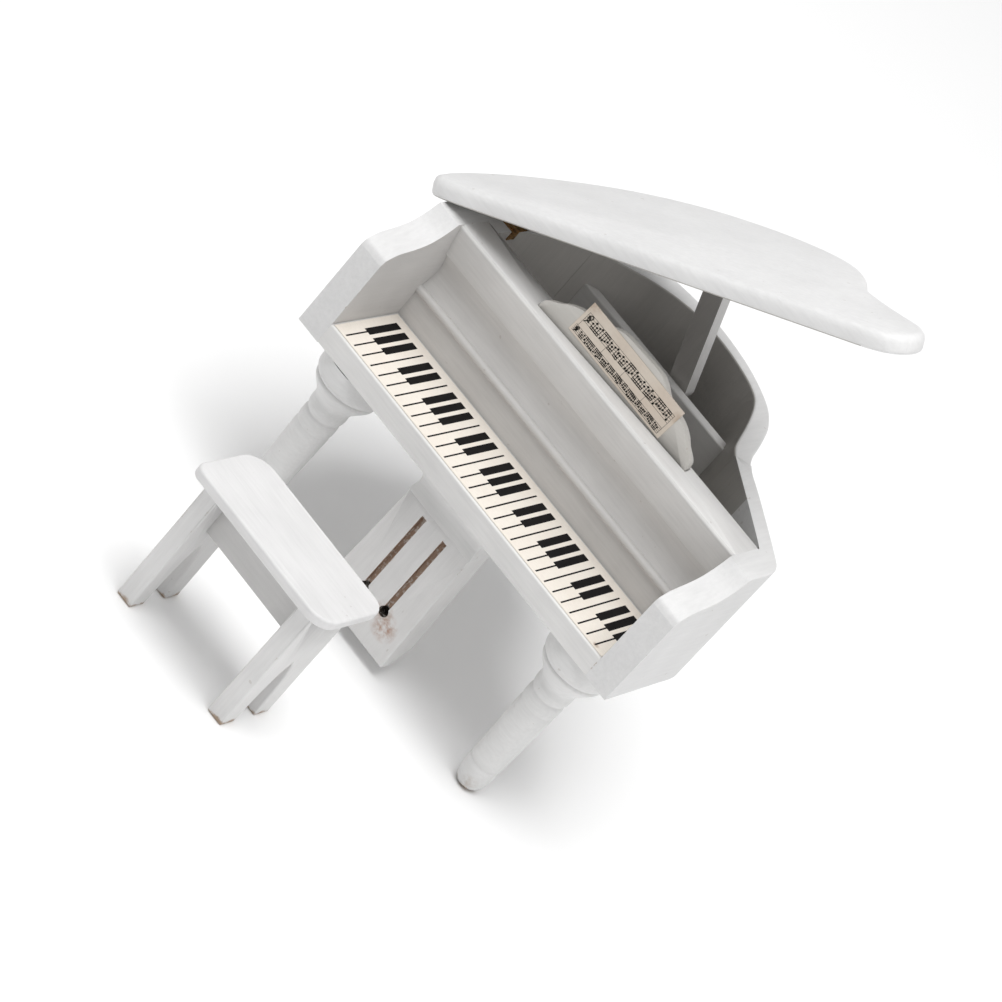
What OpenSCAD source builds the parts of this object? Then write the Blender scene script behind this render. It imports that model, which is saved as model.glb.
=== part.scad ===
// Miniature grand piano and stool for a dolls house, to 1:12 scale.
// Units are millimetres. +Z is up, the player sits on the -Y side and the
// bass end is on the -X side. The floor is at Z = 0.

/* [Case] */
// width of the case across the two cheeks
case_w = 120; // [110:1:135]
// depth of the case from the front of the key bed to the end of the tail
case_d = 93.6; // [88:0.2:105]
// height of the top of the rim above the floor
case_top = 89.4; // [87:0.2:100]
// height of the underside of the case above the floor
case_bottom = 51; // [49:0.5:53]
// thickness of each cheek beside the keyboard
cheek_t = 7.5; // [6:0.5:9]
// height where the front of a cheek turns into its slope, below the rim top
knee_drop = 11.9; // [10.5:0.1:13]
// distance from the front to where the cheek slope reaches the rim top
slope_d = 21.2; // [19:0.2:22]
// thickness of the bottom board inside the case
floor_t = 1.6; // [1.2:0.1:3]

/* [Keyboard] */
// height of the key bed board
key_bed_t = 6.2; // [5:0.1:7]
// thickness of the printed keyboard sheet
label_t = 0.2; // [0.1:0.05:0.4]
// length of the printed keys from front to back
key_len = 26.6; // [22:0.2:27]
// height of the strip behind the keys
strip_h = 8; // [6:0.5:9]
// height of the small lip above that strip
lip_h = 2.2; // [1.6:0.2:3]
// height of the rail across the top of the fallboard
rail_h = 11.4; // [10:0.2:12]

/* [Music desk] */
// height of the crest of the music desk above the rail
desk_h = 11.5; // [10:0.5:14]
// width of the music desk
desk_w = 53.5; // [46:0.5:60]
// thickness of the music desk board
desk_t = 2.6; // [2:0.2:3.2]
// backward lean of the music desk, in degrees
desk_lean = 8; // [0:1:10]
// turn of the music desk about the vertical, in degrees
desk_turn = 4; // [0:1:5]

/* [Lid] */
// opening angle of the lid as it rests on its prop, in degrees
lid_open = 30.4; // [26:0.2:34]
// thickness of the lid board
lid_t = 4.8; // [4.2:0.2:6]
// overhang of the lid past the straight side
lid_over = 6.2; // [4:0.1:7]
// width of the prop stick
prop_w = 5.8; // [4:0.2:6]
// thickness of the prop stick from front to back
prop_t = 4.4; // [3:0.2:4.6]
// sideways lean of the prop stick, in degrees
prop_lean = 20.5; // [17:0.5:22]
// length of the prop stick from its nail to its foot
prop_len = 39; // [38.4:0.1:40]

/* [Legs and lyre] */
// distance from the bass side to the middle of the left leg
left_leg_x = 17; // [15:0.5:20]
// distance from the treble side to the middle of the right leg
right_leg_in = 13.7; // [12:0.1:18]
// radius of the collar at the top of a leg
collar_r = 9.7; // [8:0.1:10]
// radius of the leg just below its collar
neck_r = 5.3; // [4:0.1:6]
// width of the pedal lyre at its cap
lyre_w = 25; // [20:0.5:30]
// clearance between the pedal lyre and the floor
lyre_clear = 4; // [2:0.5:8]

/* [Stool] */
// width of the stool seat
seat_w = 49.4; // [44:0.2:54]
// depth of the stool seat
seat_d = 24.6; // [22:0.2:28]
// height of the stool
seat_h = 41.4; // [38:0.2:44]
// thickness of the stool seat
seat_t = 2.9; // [2:0.1:4]
// distance from the front of the piano to the middle of the stool
stool_out = 46.8; // [40:0.2:70]
// thickness of each end panel of the stool
panel_t = 5; // [3:0.5:6]

/* [Hidden] */
$fn = 48;
eps = 0.01;
paint = [0.93, 0.93, 0.92];
paint_shade = [0.88, 0.88, 0.87];
paper = [0.93, 0.89, 0.83];
sheet_paper = [0.82, 0.77, 0.69];
brass = [0.72, 0.56, 0.28];
steel = [0.62, 0.62, 0.6];

// the frame origin is below the middle of the piano and stool together
origin_x = 56.23;
origin_y = 17.25;

// scale factors for outlines drawn on a 120 by 93.6 case
sx = case_w / 120;
sy = case_d / 93.6;

// a point of a smooth curve through four control points
function blend(p0, p1, p2, p3, t) = 0.5 * (2 * p1 + (p2 - p0) * t
    + (2 * p0 - 5 * p1 + 4 * p2 - p3) * t * t
    + (3 * p1 - p0 - 3 * p2 + p3) * t * t * t);

// a smooth open curve through every control point of a list
function smooth(c, n = 4) = [
    for (i = [0 : len(c) - 2], k = [0 : n - 1])
        blend(c[max(i - 1, 0)], c[i], c[i + 1], c[min(i + 2, len(c) - 1)], k / n),
    c[len(c) - 1]
];

function stretch(c) = [for (p = c) [p[0] * sx, p[1] * sy]];

// outer side of the rim from the treble corner round the tail to the spine
rim_outer = stretch([
    [120, 24], [120, 30.5], [118.9, 34.6], [115, 38.6], [99.6, 50.9], [92.3, 56.4],
    [88.9, 61.2], [86.6, 67], [84.2, 73], [80.9, 79.5], [75.4, 85.6], [66, 90.6],
    [57, 92.9], [48, 93.6], [39.5, 92.6], [31, 89.6], [23, 84.8], [15.5, 77.4],
    [9.8, 69], [5, 60.3], [1.3, 52.6], [0, 46.5]
]);

// inner side of the rim from behind the rail to the joint in the bentside
rim_inner_bent = stretch([[112.9, 33.9], [110.9, 36], [99, 45.6], [86.8, 55.2]]);

// inner side of the rim from that joint round the tail to the bass wall
rim_inner_tail = stretch([
    [86.8, 55.2], [84.2, 58.6], [82, 63.6], [79.8, 69], [77.3, 74.6], [74.6, 79.7],
    [71.6, 83.5], [67, 86.2], [60, 88.2], [53, 89], [46, 88.2], [39.5, 85.6],
    [33.6, 81.4], [28.4, 76.2], [23.9, 71.2], [20.2, 66.4], [16.6, 58], [13.8, 49.6],
    [12, 41.6], [11.5, 33.9]
]);

// outline of the lid as seen from above when shut
lid_outline = stretch([
    [-lid_over, 27.6], [-lid_over, 33], [-4.7, 39.6], [-0.9, 49], [3.8, 57], [9, 64],
    [14.8, 70.4], [21, 75.6], [28, 79.8], [36, 82.9], [44, 84.6], [52, 85], [60, 84.6],
    [68, 83.2], [75.5, 81], [82, 78], [87.6, 74], [92.2, 69], [95.8, 63.4], [98.4, 58.8],
    [102.2, 55], [109, 49.8], [116.5, 44.9], [122, 41.4], [125.4, 37.4], [126.5, 32.4],
    [125.3, 27.2], [122, 23.8], [117, 22.6]
]);

// cut lines where the two sides meet the bent tail: a point and a direction
left_seam = [20.3 * sx, 67.8 * sy];
left_seam_dir = 65.2;
right_seam = [86.8 * sx, 55.2 * sy];
right_seam_dir = 126;

key_z = case_bottom + key_bed_t;
key_back = 28;
rail_back = 33.9 * sy;
rail_front = 22.9;
strip_top = key_z + strip_h;
lip_top = strip_top + lip_h;
rail_bottom = case_top - rail_h;
floor_top = case_bottom + floor_t;

// hinge line of the lid, at the outer top edge of the spine
axis_x = 0.4;
axis_z = case_top - 1;
lid_under = case_top + 0.25;
knuckle_r = 1.1;
hinge_pin_r = 0.55;
pin_fit = 0.06;
hinge_len = 10.4;
hinge_gap = 0.15;
end_knuckle = 3;
leaf_t = 0.8;
leaf_w = 12;
leaf_relief = 1.35;
leaf_nails = [3.6, 9.2];
leaf_nail_r = 0.35;
leaf_nail_l = 3.4;
leaf_nail_head = 0.2;
mortise_d = 2.8;
hinge_y = 45.2;

// bar across the inside of the tail, and the prop stick in the pocket behind it
bar_y = 70.9 * sy;
bar_t = 3.4;
bar_top = case_top - 9.7;
prop_y = bar_y + bar_t + 0.4;
// place of the prop's nail when the lid is shut, and its size
prop_pivot_x = 51.4;
prop_pivot_drop = 3.2;
nail_r = 0.6;
nail_fit = 0.05;
nail_skin = 0.7;
nail_head_t = 0.4;
tab_t = 1.3;
tab_r = 2.1;
tab_gap = 0.15;

lyre_x = case_w / 2 - 0.7;
lyre_y = 6;
lyre_t = 9;
lyre_cap_h = 9;
groove_w = 1.5;
groove_d = 1.2;
groove_x = 4;
pedal_hole_r = 1.4;
lyre_foot_z = 14.6;

// a solid with rounded edges grown from a closed outline: each ring is the
// outline drawn in by the rounding and set at its own height
function inset(c, d) = [
    for (i = [0 : len(c) - 1])
        let (
            a = c[(i + len(c) - 1) % len(c)],
            b = c[(i + 1) % len(c)],
            t = (b - a) / max(norm(b - a), eps)
        )
        c[i] + d * [t[1], -t[0]]
];

module rounded_board(c, h, low_r, high_r, steps = 3) {
    n = len(c);
    angles = [for (k = [0 : steps]) 90 * k / steps];
    rings = concat(
        [for (a = angles) [low_r * (1 - sin(a)), low_r * (1 - cos(a))]],
        [for (a = angles) [high_r * (1 - cos(a)), h - high_r * (1 - sin(a))]]
    );
    m = len(rings);
    points = [
        for (g = rings) each [for (p = inset(c, g[0])) [p[0], p[1], g[1]]]
    ];
    sides = [
        for (k = [0 : m - 2], i = [0 : n - 1])
            [k * n + i, k * n + (i + 1) % n, (k + 1) * n + (i + 1) % n, (k + 1) * n + i]
    ];
    polyhedron(points, concat([[for (i = [n - 1 : -1 : 0]) i]], sides,
        [[for (i = [0 : n - 1]) (m - 1) * n + i]]));
}

// board of the given size whose front long edges are rounded
module bar_x(x0, x1, y0, y1, z0, z1, r) {
    translate([x0, 0, 0])
        rotate([90, 0, 90])
            linear_extrude(x1 - x0)
                union() {
                    translate([y0 + r, z0])
                        square([y1 - y0 - r, z1 - z0]);
                    translate([y0, z0 + r])
                        square([r + eps, z1 - z0 - 2 * r]);
                    translate([y0 + r, z0 + r])
                        circle(r);
                    translate([y0 + r, z1 - r])
                        circle(r);
                }
}

module case_outline() {
    polygon(concat([[case_w, 0]], smooth(rim_outer), [[0, 0]]));
}

module cavity_outline() {
    polygon(concat(smooth(rim_inner_bent), smooth(rim_inner_tail)));
}

// everything ahead of a seam, on the player's side of it
module ahead(seam, dir) {
    translate(seam)
        rotate(dir)
            translate([-300, -300])
                square([300, 600]);
}

module wall_ring() {
    difference() {
        case_outline();
        cavity_outline();
        translate([cheek_t, -1])
            square([case_w - 2 * cheek_t, rail_back + 1]);
    }
}

// profile of a cheek's slope, seen from the side, as a body to cut away
module slope_cut() {
    k = case_top - knee_drop;
    s = slope_d / 21.2;
    curve = smooth([
        [0, k], [0.5 * s, k + 1.4], [1.6 * s, k + 2.3], [4.5 * s, k + 3.6], [10 * s, k + 4.6],
        [14 * s, k + 5.7], [17 * s, k + 7.4], [19.4 * s, k + 9.6], [slope_d, case_top]
    ]);
    translate([-1, 0, 0])
        rotate([90, 0, 90])
            linear_extrude(case_w + 2)
                polygon(concat([[-1, case_top + 1], [-1, k]], curve,
                    [[slope_d, case_top + 1]]));
}

module hinge_mortise() {
    translate([-2.5, hinge_y - hinge_len / 2 - 0.3, case_top - mortise_d])
        cube([leaf_w + 2.7, hinge_len + 0.6, mortise_d + 1]);
}

module case_wall() {
    translate([0, 0, case_bottom])
        linear_extrude(case_top - case_bottom)
            children();
}

module left_side() {
    color(paint)
        difference() {
            case_wall()
                intersection() {
                    wall_ring();
                    ahead(left_seam, left_seam_dir);
                    translate([-5, -5])
                        square([case_w / 2, 200]);
                }
            slope_cut();
            hinge_mortise();
        }
}

module right_side() {
    color(paint)
        difference() {
            case_wall()
                intersection() {
                    wall_ring();
                    ahead(right_seam, right_seam_dir);
                    translate([case_w / 2, -5])
                        square([case_w, 200]);
                }
            slope_cut();
        }
}

module tail_rim() {
    color(paint)
        case_wall()
            difference() {
                wall_ring();
                intersection() {
                    ahead(left_seam, left_seam_dir);
                    translate([-5, -5])
                        square([case_w / 2 + 5, 200]);
                }
                intersection() {
                    ahead(right_seam, right_seam_dir);
                    translate([case_w / 2 - eps, -5])
                        square([case_w, 200]);
                }
            }
}

module bottom_board() {
    color(paint_shade)
        translate([0, 0, case_bottom])
            linear_extrude(floor_t)
                cavity_outline();
}

module key_bed() {
    color(paint)
        translate([cheek_t, 0, case_bottom])
            cube([case_w - 2 * cheek_t, rail_back, key_bed_t]);
}

module keyboard_sheet() {
    color(paper)
        translate([cheek_t + 0.4, 0.75, key_z])
            cube([case_w - 2 * cheek_t - 0.8, key_len, label_t]);
}

module key_strip() {
    color(paint)
        translate([cheek_t, key_back, key_z])
            cube([case_w - 2 * cheek_t, rail_back - key_back, strip_h]);
}

module strip_lip() {
    color(paint)
        bar_x(cheek_t, case_w - cheek_t, key_back - 1, rail_back, strip_top, lip_top, lip_h / 2 - 0.1);
}

module fallboard() {
    h = rail_bottom - lip_top;
    cove = smooth([
        [28.4, lip_top], [29.6, lip_top + 0.2 * h], [30.2, lip_top + 0.42 * h],
        [29.9, lip_top + 0.65 * h], [28.8, lip_top + 0.86 * h], [28.1, rail_bottom]
    ], 3);
    color(paint_shade)
        translate([cheek_t, 0, 0])
            rotate([90, 0, 90])
                linear_extrude(case_w - 2 * cheek_t)
                    polygon(concat(cove, [[rail_back, rail_bottom], [rail_back, lip_top]]));
}

// the slot that the foot of the music desk stands in
slot_d = 1;

module desk_place() {
    translate([case_w / 2 + 0.7, 29.6, case_top - slot_d])
        rotate([0, 0, desk_turn])
            rotate([-desk_lean, 0, 0])
                children();
}

module top_rail() {
    color(paint)
        difference() {
            translate([cheek_t, 0, 0])
                rotate([90, 0, 90])
                    linear_extrude(case_w - 2 * cheek_t)
                        polygon([
                            [rail_front, case_top - 0.7], [rail_front + 0.7, case_top],
                            [rail_back, case_top], [rail_back, rail_bottom],
                            [27.7, rail_bottom], [27, rail_bottom + 0.7]
                        ]);
            desk_place()
                translate([-desk_w / 2 - 0.1, -desk_t / 2 - 0.1, 0])
                    cube([desk_w + 0.2, desk_t + 0.2, 4]);
        }
}

module music_desk() {
    w = desk_w / 2;
    h = desk_h + slot_d;
    half = smooth([
        [w, slot_d + 0.5], [w - 0.4, slot_d + 1.9], [w - 1.5, slot_d + 2.9],
        [w - 3.6, slot_d + 4.2], [w - 5.4, slot_d + 5.7], [w - 8.2, slot_d + 7.1],
        [w - 11.5, slot_d + 7.9], [w - 14.8, h - 2.8], [w - 17.4, h - 1.2], [w - 20, h - 0.2],
        [w - 23, h]
    ], 3);
    color(paint)
        desk_place()
            rotate([90, 0, 0])
                translate([0, 0, -desk_t / 2])
                    linear_extrude(desk_t)
                        polygon(concat([[-w, 0], [w, 0]], half,
                            [for (i = [len(half) - 1 : -1 : 0]) [-half[i][0], half[i][1]]]));
}

sheet_w = 34.4;
sheet_h = 9.3;

module music_sheet() {
    color(sheet_paper)
        desk_place()
            translate([-0.2, -desk_t / 2, 5.55 + slot_d])
                rotate([90, 0, 0])
                    rotate([0, 0, -2.6])
                        translate([-sheet_w / 2, -sheet_h / 2, 0])
                            cube([sheet_w, sheet_h, 0.15]);
}

module cross_bar() {
    color(paint_shade)
        translate([0, 0, floor_top])
            linear_extrude(bar_top - floor_top)
                intersection() {
                    cavity_outline();
                    translate([0, bar_y])
                        square([case_w, bar_t]);
                }
}

// turns whatever is drawn shut to the open position of the lid
module lid_place() {
    translate([axis_x, 0, axis_z])
        rotate([0, -lid_open, 0])
            translate([-axis_x, 0, -axis_z])
                children();
}

module lid_board() {
    color(paint)
        lid_place()
            translate([0, 0, lid_under])
                rounded_board(concat(
                    smooth([[5, 22.6], [0, 22.8], [-4, 24.2], [-lid_over * sx, 27.6]], 3),
                    smooth([for (i = [1 : len(lid_outline) - 1]) lid_outline[i]])
                ), lid_t, 0.9, 2);
}

// everything at the prop's nail, in the lid's own shut position
module at_prop_nail() {
    lid_place()
        translate([prop_pivot_x, prop_y, lid_under - prop_pivot_drop])
            children();
}

// thin tab glued under the lid, held in the slot of the prop stick
module prop_tab() {
    color(paint_shade)
        at_prop_nail()
            translate([0, (prop_t - tab_t) / 2, 0])
                difference() {
                    rotate([-90, 0, 0])
                        linear_extrude(tab_t)
                            union() {
                                circle(tab_r);
                                translate([-tab_r, -prop_pivot_drop])
                                    square([2 * tab_r, prop_pivot_drop]);
                            }
                    translate([0, -eps, 0])
                        rotate([-90, 0, 0])
                            cylinder(r = nail_r, h = tab_t + 2 * eps);
                }
}

// nail driven from behind through the slotted stick and the tab
module prop_nail() {
    color(steel)
        at_prop_nail()
            rotate([-90, 0, 0]) {
                translate([0, 0, nail_skin])
                    cylinder(r = nail_r, h = prop_t - nail_skin + tab_gap + nail_head_t);
                translate([0, 0, prop_t + tab_gap])
                    cylinder(r = 2 * nail_r, h = nail_head_t);
            }
}

// stick that hangs from the nail; its foot rests behind the top of the bar
module prop_stick() {
    r = prop_w / 2;
    slot_t = tab_t + 2 * tab_gap;
    color(paint_shade)
        at_prop_nail()
            rotate([0, lid_open - prop_lean, 0])
                difference() {
                    rotate([-90, 0, 0])
                        linear_extrude(prop_t)
                            union() {
                                circle(r);
                                translate([-r, 0])
                                    square([2 * r, prop_len - r]);
                                translate([0, prop_len - r])
                                    circle(r);
                            }
                    translate([-prop_w, (prop_t - slot_t) / 2, -tab_r - 0.5])
                        cube([2 * prop_w, slot_t, 20]);
                    translate([0, nail_skin - tab_gap, 0])
                        rotate([-90, 0, 0])
                            cylinder(r = nail_r + nail_fit, h = prop_t);
                }
}

// one leaf of a butt hinge, flat side down; the knuckles named by ends stay
module hinge_leaf(z0, ends) {
    y = hinge_y;
    h = hinge_len;
    mid = h - 2 * end_knuckle - 2 * hinge_gap;
    difference() {
        union() {
            translate([axis_x, y - h / 2, z0])
                cube([leaf_w - axis_x, h, leaf_t]);
            translate([axis_x, y - h / 2, min(z0, axis_z)])
                cube([knuckle_r, h, abs(z0 - axis_z) + leaf_t / 2]);
            if (ends) {
                knuckle(y - h / 2, end_knuckle);
                knuckle(y + h / 2 - end_knuckle, end_knuckle);
            } else {
                knuckle(y - mid / 2, mid);
            }
        }
        if (ends) {
            relief(y - mid / 2 - hinge_gap, mid + 2 * hinge_gap);
        } else {
            relief(y - h / 2 - 1, end_knuckle + hinge_gap + 1);
            relief(y + mid / 2, end_knuckle + hinge_gap + 1);
        }
        translate([axis_x, y - h, axis_z])
            rotate([-90, 0, 0])
                cylinder(r = hinge_pin_r + (ends ? 0 : pin_fit), h = 2 * h);
        for (x = leaf_nails)
            translate([x, y, z0 - 1])
                cylinder(r = leaf_nail_r + nail_fit, h = leaf_t + 2);
    }
}

// the two nails of a hinge leaf, heads down on the plane z0, points upward
module leaf_nail_pair(z0) {
    for (x = leaf_nails)
        translate([x, hinge_y, z0]) {
            translate([0, 0, -leaf_nail_head])
                cylinder(r = 2 * leaf_nail_r, h = leaf_nail_head);
            cylinder(r = leaf_nail_r, h = leaf_nail_l);
        }
}

module knuckle(y0, l) {
    translate([axis_x, y0, axis_z])
        rotate([-90, 0, 0])
            cylinder(r = knuckle_r, h = l);
}

module relief(y0, l) {
    translate([axis_x, y0, axis_z])
        rotate([-90, 0, 0])
            cylinder(r = leaf_relief, h = l);
}

module case_leaf() {
    color(brass)
        hinge_leaf(case_top - mortise_d, true);
}

module lid_leaf() {
    color(brass)
        lid_place()
            hinge_leaf(lid_under - leaf_t, false);
}

module case_nails() {
    color(brass)
        translate([0, 0, case_top - mortise_d + leaf_t])
            mirror([0, 0, 1])
                leaf_nail_pair(0);
}

module lid_nails() {
    color(brass)
        lid_place()
            leaf_nail_pair(lid_under - leaf_t);
}

module hinge_pin() {
    color(steel)
        translate([axis_x, hinge_y - hinge_len / 2, axis_z])
            rotate([-90, 0, 0])
                cylinder(r = hinge_pin_r, h = hinge_len);
}

// turned leg: collar, bead, neck ring, tapered shaft and a rounded foot
module leg(x, y) {
    s = neck_r / 5.3;
    top = case_bottom;
    r = collar_r;
    profile = [
        [0, 0], [1.6 * s, 0], [3 * s, 0.7], [3.9 * s, 2.4], [4.3 * s, 4.6], [4.4 * s, 8.1],
        [4.1 * s, 8.5], [4.4 * s, 9], [4.7 * s, 19], [4.95 * s, 29.3], [4.75 * s, 29.9],
        [5 * s, 30.5], [5 * s, 33.6], [4.6 * s, 34.2], [5.1 * s, 34.9], [5.3 * s, 36.4],
        [5.3 * s, 38.4], [r - 2.2, 41.4], [r - 1.1, 43], [r - 0.8, 44], [r - 1.2, 44.5],
        [r - 0.3, 45], [r, 46], [r, top], [0, top]
    ];
    color(paint)
        translate([x, y, 0])
            rotate_extrude($fn = 64)
                polygon(profile);
}

module left_leg() {
    leg(left_leg_x, collar_r);
}

module right_leg() {
    leg(case_w - right_leg_in, collar_r + 0.6);
}

module rear_leg() {
    leg(44 * sx, 77 * sy);
}

// block that holds the lyre under the key bed, hollowed along three lower edges
module lyre_cap() {
    z0 = case_bottom - lyre_cap_h;
    cove = smooth([[0, z0 + 6.6], [0.9, z0 + 5.2], [1.1, z0 + 3.2], [0.8, z0 + 1.6], [0.5, z0]], 3);
    w = lyre_w / 2;
    color(paint)
        translate([lyre_x, lyre_y - 0.9, 0])
            intersection() {
                rotate([90, 0, 90])
                    translate([0, 0, -w])
                        linear_extrude(2 * w)
                            polygon(concat([[lyre_t + 0.9, z0], [lyre_t + 0.9, case_bottom],
                                [0, case_bottom]], cove));
                translate([0, lyre_t + 0.9, 0])
                    rotate([90, 0, 0])
                        linear_extrude(lyre_t + 0.9)
                            polygon(concat([[w, case_bottom], [-w, case_bottom]],
                                [for (c = cove) [c[0] - w, c[1]]],
                                [for (i = [len(cove) - 1 : -1 : 0]) [w - cove[i][0], cove[i][1]]]));
            }
}

// board with two sunk lines for the pedal rods, ending in the pedal holes
module lyre_board() {
    top = case_bottom - lyre_cap_h;
    a = lyre_w / 2 - 0.9;
    b = lyre_w / 2 + 0.5;
    color(paint)
        translate([lyre_x, lyre_y, 0])
            difference() {
                translate([0, lyre_t, 0])
                    rotate([90, 0, 0])
                        linear_extrude(lyre_t)
                            polygon([[-a, top], [a, top], [b, lyre_clear], [-b, lyre_clear]]);
                for (s = [-1, 1]) {
                    translate([s * groove_x - groove_w / 2, -1, lyre_foot_z])
                        cube([groove_w, 1 + groove_d, top - lyre_foot_z - 2]);
                    translate([s * groove_x, -1, lyre_foot_z])
                        rotate([-90, 0, 0])
                            cylinder(r = pedal_hole_r, h = 4);
                }
                translate([-lyre_w, lyre_t - 5.5, lyre_clear])
                    rotate([42, 0, 0])
                        translate([0, 0, -6])
                            cube([2 * lyre_w, 12, 6]);
            }
}

stool_x = 52.6 * sx;

// corner radius of the stool seat: front left, front right, back right, back left
seat_corners = [3, 6.5, 4.2, 7];

// seat of the stool, a board with round corners
module stool_seat() {
    places = [[-1, -1], [1, -1], [1, 1], [-1, 1]];
    color(paint)
        translate([stool_x, -stool_out, seat_h - seat_t])
            linear_extrude(seat_t)
                difference() {
                    square([seat_w, seat_d], center = true);
                    for (i = [0 : 3])
                        translate([places[i][0] * seat_w / 2, places[i][1] * seat_d / 2])
                            seat_corner(seat_corners[i], places[i]);
                }
}

// what is cut off a square corner to round it
module seat_corner(r, side) {
    difference() {
        square(2 * r, center = true);
        translate([-side[0] * r, -side[1] * r])
            circle(r);
    }
}

panel_gap = 30.9;
panel_d = 18.9;

// one end of the stool, with a pointed arch between its two feet
module stool_end(x) {
    h = seat_h - seat_t;
    half = smooth([[3.9, -1], [3.6, 4], [2.9, 11], [1.7, 17], [0, 20.5]], 4);
    color(paint_shade)
        translate([stool_x + x, -stool_out, 0])
            rotate([90, 0, 90])
                translate([0, 0, -panel_t / 2])
                    linear_extrude(panel_t)
                        difference() {
                            translate([-panel_d / 2, 0])
                                square([panel_d, h]);
                            polygon(concat(half,
                                [for (i = [len(half) - 2 : -1 : 0]) [-half[i][0], half[i][1]]]));
                        }
}

module stool_left_end() {
    stool_end(-(panel_gap + panel_t) / 2);
}

module stool_right_end() {
    stool_end((panel_gap + panel_t) / 2);
}

module stool_rail() {
    h = 12.5;
    color(paint_shade)
        translate([stool_x - panel_gap / 2, -stool_out - 3.6, seat_h - seat_t - h])
            cube([panel_gap, 4, h]);
}

module at_origin() {
    translate([-origin_x, -origin_y, 0])
        children();
}

at_origin() left_side();
at_origin() right_side();
at_origin() tail_rim();
at_origin() bottom_board();
at_origin() key_bed();
at_origin() keyboard_sheet();
at_origin() key_strip();
at_origin() strip_lip();
at_origin() fallboard();
at_origin() top_rail();
at_origin() music_desk();
at_origin() music_sheet();
at_origin() cross_bar();
at_origin() prop_stick();
at_origin() left_leg();
at_origin() right_leg();
at_origin() rear_leg();
at_origin() lyre_cap();
at_origin() lyre_board();
at_origin() case_leaf();
at_origin() case_nails();  // case_leaf_nails
at_origin() hinge_pin();
at_origin() lid_board();
at_origin() lid_leaf();
at_origin() lid_nails();  // lid_leaf_nails
at_origin() prop_tab();
at_origin() prop_nail();
at_origin() stool_seat();
at_origin() stool_left_end();
at_origin() stool_right_end();
at_origin() stool_rail();
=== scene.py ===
import math
import random

import bmesh
import bpy
from mathutils import Matrix, Vector
from mathutils.bvhtree import BVHTree


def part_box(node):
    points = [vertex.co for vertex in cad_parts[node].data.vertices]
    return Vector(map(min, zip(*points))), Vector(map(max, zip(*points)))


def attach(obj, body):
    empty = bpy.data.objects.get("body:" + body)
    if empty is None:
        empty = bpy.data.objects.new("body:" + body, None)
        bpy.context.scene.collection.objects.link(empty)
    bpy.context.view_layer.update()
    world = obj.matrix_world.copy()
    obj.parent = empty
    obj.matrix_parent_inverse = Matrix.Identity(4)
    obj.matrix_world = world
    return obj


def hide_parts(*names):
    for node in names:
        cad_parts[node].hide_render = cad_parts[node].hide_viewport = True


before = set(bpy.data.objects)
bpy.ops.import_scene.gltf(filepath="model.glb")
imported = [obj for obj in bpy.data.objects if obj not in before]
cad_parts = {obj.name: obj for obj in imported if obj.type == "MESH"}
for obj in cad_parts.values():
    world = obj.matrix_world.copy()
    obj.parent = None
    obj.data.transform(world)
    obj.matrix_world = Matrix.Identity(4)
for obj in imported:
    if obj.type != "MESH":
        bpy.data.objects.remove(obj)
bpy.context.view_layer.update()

MM = 0.001

# ---------------------------------------------------------------- camera

CAMERA_TARGET = Vector((3.03, 11.32, 46.24)) * MM
CAMERA_DISTANCE = 1057.49 * MM
CAMERA_AZIMUTH = math.radians(18.32)
CAMERA_ELEVATION = math.radians(29.12)
CAMERA_ROLL = math.radians(41.96)
CAMERA_LENS = 157.28
SENSOR_WIDTH = 36
NEAREST_SEEN = 0.01


def add_camera():
    """The camera looks down at the player's side of the piano and is rolled to the left."""
    back = Vector((
        math.cos(CAMERA_ELEVATION) * math.sin(CAMERA_AZIMUTH),
        -math.cos(CAMERA_ELEVATION) * math.cos(CAMERA_AZIMUTH),
        math.sin(CAMERA_ELEVATION),
    ))
    level = (-back).cross(Vector((0, 0, 1))).normalized()
    upright = level.cross(-back)
    right = math.cos(CAMERA_ROLL) * level + math.sin(CAMERA_ROLL) * upright
    up = -math.sin(CAMERA_ROLL) * level + math.cos(CAMERA_ROLL) * upright
    data = bpy.data.cameras.new("camera")
    data.lens = CAMERA_LENS
    data.sensor_width = SENSOR_WIDTH
    data.clip_start = NEAREST_SEEN
    camera = bpy.data.objects.new("camera", data)
    place = Matrix((right, up, back)).transposed().to_4x4()
    place.translation = CAMERA_TARGET + back * CAMERA_DISTANCE
    camera.matrix_world = place
    bpy.context.scene.collection.objects.link(camera)
    bpy.context.scene.camera = camera


# ---------------------------------------------------------------- materials


def add(tree, kind, inputs=None, **settings):
    """A new shader node. An input is either a value or the socket that it is linked from."""
    node = tree.nodes.new(kind)
    for key, value in settings.items():
        setattr(node, key, value)
    for key, value in (inputs or {}).items():
        if isinstance(value, bpy.types.NodeSocket):
            tree.links.new(value, node.inputs[key])
        else:
            node.inputs[key].default_value = value
    return node


def new_material(name):
    """An empty node material: its tree, its surface shader and its object coordinates."""
    material = bpy.data.materials.new(name)
    material.use_nodes = True
    tree = material.node_tree
    tree.nodes.clear()
    surface = add(tree, "ShaderNodeBsdfPrincipled")
    add(tree, "ShaderNodeOutputMaterial", {"Surface": surface.outputs[0]})
    coords = add(tree, "ShaderNodeTexCoord").outputs["Object"]
    return material, tree, surface, coords


def noise(tree, vector, scale, detail=3.0, roughness=0.55):
    """Smooth noise from 0 to 1, with scale lumps to the metre."""
    return add(tree, "ShaderNodeTexNoise", {
        "Vector": vector, "Scale": scale, "Detail": detail, "Roughness": roughness,
    }).outputs["Fac"]


def stretched(tree, vector, scale):
    """Coordinates scaled by a different factor along each axis, for grain and strokes."""
    return add(tree, "ShaderNodeMapping", {"Vector": vector, "Scale": scale}).outputs[0]


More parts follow.
